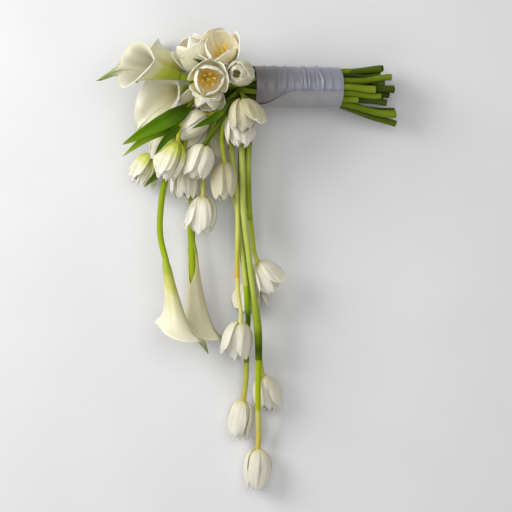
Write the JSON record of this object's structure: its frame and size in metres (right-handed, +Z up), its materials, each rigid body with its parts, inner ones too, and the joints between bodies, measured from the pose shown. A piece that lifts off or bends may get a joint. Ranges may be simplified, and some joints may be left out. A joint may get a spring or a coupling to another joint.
{
  "type": "bridal bouquet",
  "caption": "Cascade bouquet of white tulips and calla lilies with leaves, its bound stems wound with a satin ribbon, lying on its side so that the long blooms trail flat.",
  "frame": {"origin": "on the surface that the bouquet lies on, under the middle of its bounding box", "axes": "+Z up from the surface; the bound stems lie along X with their cut ends towards +X and the main blooms towards -X; the long trailing stems hang out towards -Y"},
  "size_m": [0.4156, 0.647, 0.1508],
  "materials": {
    "tulip_petal": "satin",
    "tulip_heart": "matte",
    "greenery": "satin",
    "calla_spathe": "satin",
    "calla_greenery": "satin",
    "ribbon": "satin"
  },
  "bodies": {
    "root": {"tulip_bloom_01": "tulip_petal", "tulip_bloom_02": "tulip_petal", "tulip_bloom_03": "tulip_petal", "tulip_bloom_04": "tulip_petal", "tulip_bloom_05": "tulip_petal", "tulip_bloom_06": "tulip_petal", "tulip_bloom_07": "tulip_petal", "tulip_bloom_08": "tulip_petal", "tulip_bloom_09": "tulip_petal", "tulip_bloom_10": "tulip_petal", "tulip_bloom_11": "tulip_petal", "tulip_bloom_12": "tulip_petal", "tulip_bloom_13": "tulip_petal", "tulip_bloom_14": "tulip_petal", "tulip_bloom_15": "tulip_petal", "tulip_bloom_16": "tulip_petal", "tulip_bloom_17": "tulip_petal", "tulip_bloom_18": "tulip_petal", "tulip_bloom_19": "tulip_petal", "tulip_bloom_20": "tulip_petal", "tulip_bloom_21": "tulip_petal", "tulip_bloom_22": "tulip_petal", "tulip_bloom_23": "tulip_petal", "tulip_heart_01": "tulip_heart", "tulip_heart_02": "tulip_heart", "tulip_heart_03": "tulip_heart", "tulip_stem_01": "greenery", "tulip_stem_02": "greenery", "tulip_stem_03": "greenery", "tulip_stem_04": "greenery", "tulip_stem_05": "greenery", "tulip_stem_06": "greenery", "tulip_stem_07": "greenery", "tulip_stem_08": "greenery", "tulip_stem_09": "greenery", "tulip_stem_10": "greenery", "tulip_stem_11": "greenery", "tulip_stem_12": "greenery", "tulip_stem_13": "greenery", "tulip_stem_14": "greenery", "tulip_stem_15": "greenery", "tulip_stem_16": "greenery", "tulip_stem_17": "greenery", "tulip_stem_18": "greenery", "tulip_stem_19": "greenery", "tulip_stem_20": "greenery", "tulip_stem_21": "greenery", "tulip_stem_22": "greenery", "tulip_stem_23": "greenery", "calla_spathe_1": "calla_spathe", "calla_spathe_2": "calla_spathe", "calla_spathe_3": "calla_spathe", "calla_spathe_4": "calla_spathe", "calla_spathe_5": "calla_spathe", "calla_stem_1": "calla_greenery", "calla_stem_2": "calla_greenery", "calla_stem_3": "calla_greenery", "calla_stem_4": "calla_greenery", "calla_stem_5": "calla_greenery", "ribbon_wrap": "ribbon"}
  },
  "joints": []
}
